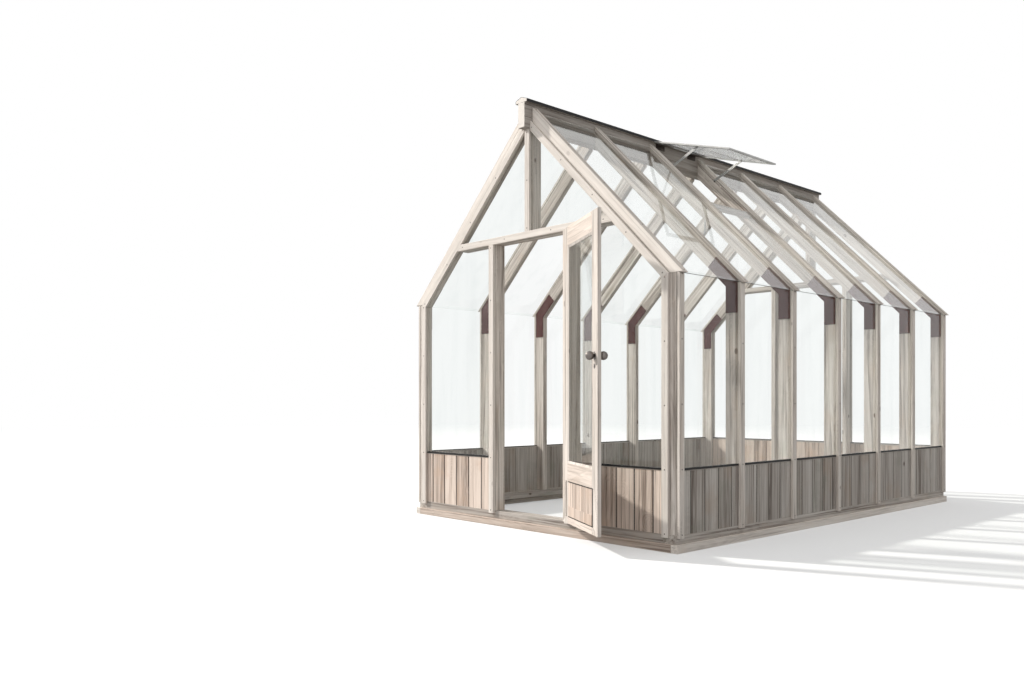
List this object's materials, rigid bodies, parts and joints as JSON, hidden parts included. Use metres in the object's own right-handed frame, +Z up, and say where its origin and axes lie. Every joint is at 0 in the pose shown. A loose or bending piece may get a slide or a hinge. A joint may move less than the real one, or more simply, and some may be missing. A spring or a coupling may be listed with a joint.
{
  "type": "timber framed glass greenhouse",
  "caption": "Walk-in timber greenhouse with a steep glazed roof, boarded dado, glazed gable door on a hinge and a roof vent propped open.",
  "frame": {"origin": "on the ground under the middle of the doorway, in the front face of the front frame", "axes": "+X to the right seen from the door end, +Y to the back along the building, +Z up"},
  "size_m": [2.658, 4.5009, 3.041],
  "materials": {
    "frame_timber": "weathered, unpainted",
    "sill_timber": "weathered, unpainted",
    "cover_strip": "weathered, unpainted",
    "dado_board": "weathered, unpainted",
    "door_timber": "weathered, unpainted",
    "glass": "clear",
    "oxide_plate": "matt oxide paint",
    "black_flashing": "matt black",
    "aluminium_bar": "dull mill finish",
    "dark_steel": "satin dark grey",
    "hinge_steel": "dull zinc",
    "knob_steel": "satin"
  },
  "bodies": {
    "building": {"back_dado": "dado_board", "back_gable_glass": "glass", "back_gable_posts": "frame_timber", "back_ground_sill": "sill_timber", "back_king_post": "frame_timber", "back_post_strips": "cover_strip", "back_rafter_strips": "cover_strip", "back_transom": "frame_timber", "back_transom_strip": "cover_strip", "back_wall_sill": "sill_timber", "door_hinge_post_halves": "hinge_steel", "front_dado": "dado_board", "front_gable_glass": "glass", "front_gable_posts": "frame_timber", "front_ground_sill": "sill_timber", "front_king_post": "frame_timber", "front_post_strips": "cover_strip", "front_rafter_strips": "cover_strip", "front_transom": "frame_timber", "front_transom_strip": "cover_strip", "front_wall_sill": "sill_timber", "gable_flashing": "black_flashing", "left_dado": "dado_board", "left_ground_sill": "sill_timber", "left_knee_plates": "oxide_plate", "left_posts": "frame_timber", "left_rafters": "frame_timber", "left_roof_glass": "glass", "left_roof_strips": "cover_strip", "left_wall_glass": "glass", "left_wall_sill": "sill_timber", "left_wall_strips": "cover_strip", "ridge_beam": "frame_timber", "ridge_cap": "black_flashing", "ridge_saddle": "frame_timber", "right_dado": "dado_board", "right_ground_sill": "sill_timber", "right_knee_plates": "oxide_plate", "right_posts": "frame_timber", "right_rafters": "frame_timber", "right_roof_glass": "glass", "right_roof_strips": "cover_strip", "right_wall_glass": "glass", "right_wall_sill": "sill_timber", "right_wall_strips": "cover_strip", "side_flashing": "black_flashing", "vent_brackets": "dark_steel", "vent_end_bars": "aluminium_bar", "vent_glass": "glass", "vent_opener": "aluminium_bar", "vent_side_bars": "aluminium_bar", "vent_stays": "aluminium_bar", "vent_trimmer": "frame_timber"},
    "door": {"door_glass": "glass", "door_hinge_leaf_halves": "hinge_steel", "door_knobs": "knob_steel", "door_panel": "dado_board", "door_rails": "door_timber", "door_stiles": "door_timber"}
  },
  "joints": [
    {"name": "door_hinge", "type": "hinge", "parent": "building", "child": "door", "pos_m": [0.3855, -0.0304, 1.083], "axis": [0, 0, 1], "range_deg": [-150.7, 15]}
  ]
}
